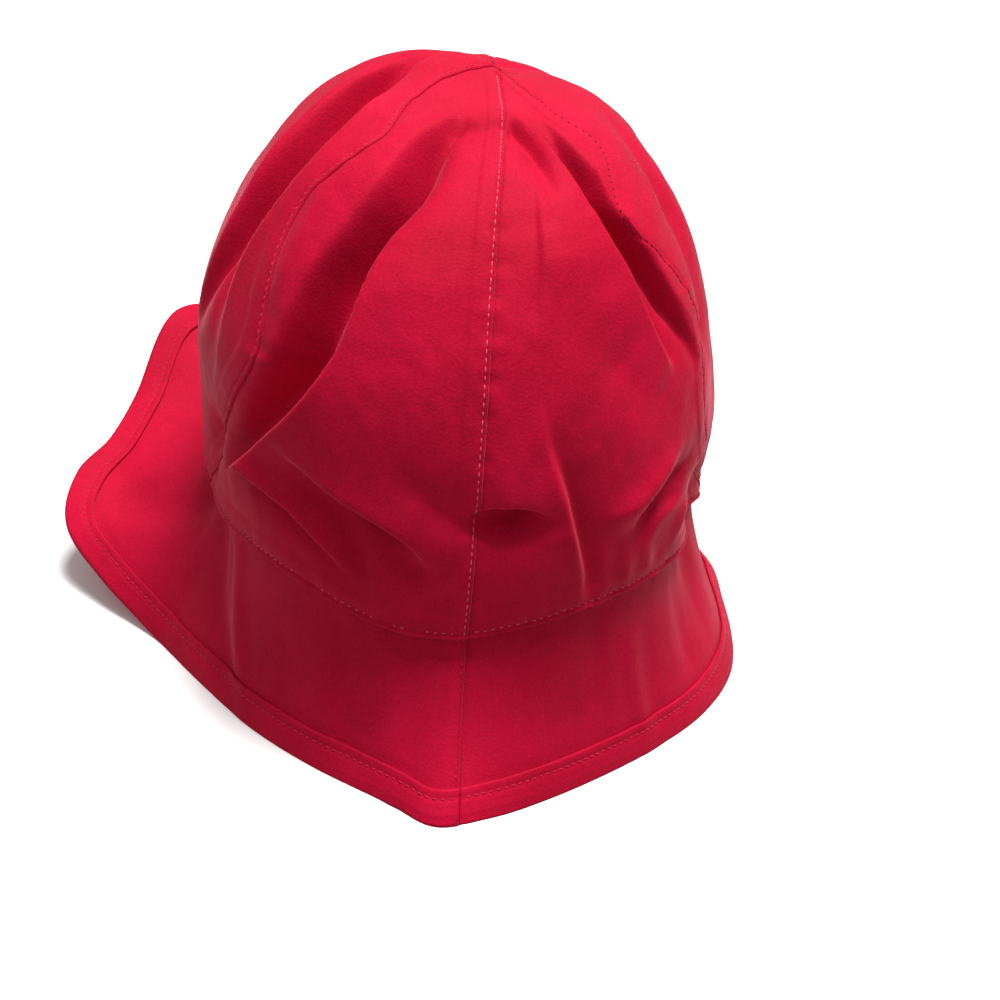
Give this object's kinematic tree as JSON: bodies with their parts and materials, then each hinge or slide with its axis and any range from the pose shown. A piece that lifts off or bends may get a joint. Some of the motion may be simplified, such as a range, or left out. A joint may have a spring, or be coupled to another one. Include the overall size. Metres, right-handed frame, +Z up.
{
  "type": "sun hat",
  "caption": "Soft cotton sun hat with a deep slumped crown of sewn panels and a turned brim bound at its edge, standing on its brim.",
  "frame": {"origin": "on the floor that the brim stands on, under the middle of the hat's outline seen from above", "axes": "+Z up through the crown, +Y towards the wearer's front, so the back seam is at -Y, and +X to the wearer's right"},
  "size_m": [0.2388, 0.2558, 0.1932],
  "materials": {
    "crown_cloth": "soft red cotton twill with a slight sheen",
    "brim_cloth": "the same red cotton twill, doubled",
    "binding_cloth": "the same red cotton twill, folded into a narrow strip and stitched"
  },
  "bodies": {
    "root": {"crown_panel_back_left": "crown_cloth", "crown_panel_back_right": "crown_cloth", "crown_panel_front_left": "crown_cloth", "crown_panel_front_right": "crown_cloth", "brim": "brim_cloth", "brim_binding": "binding_cloth"}
  },
  "joints": []
}
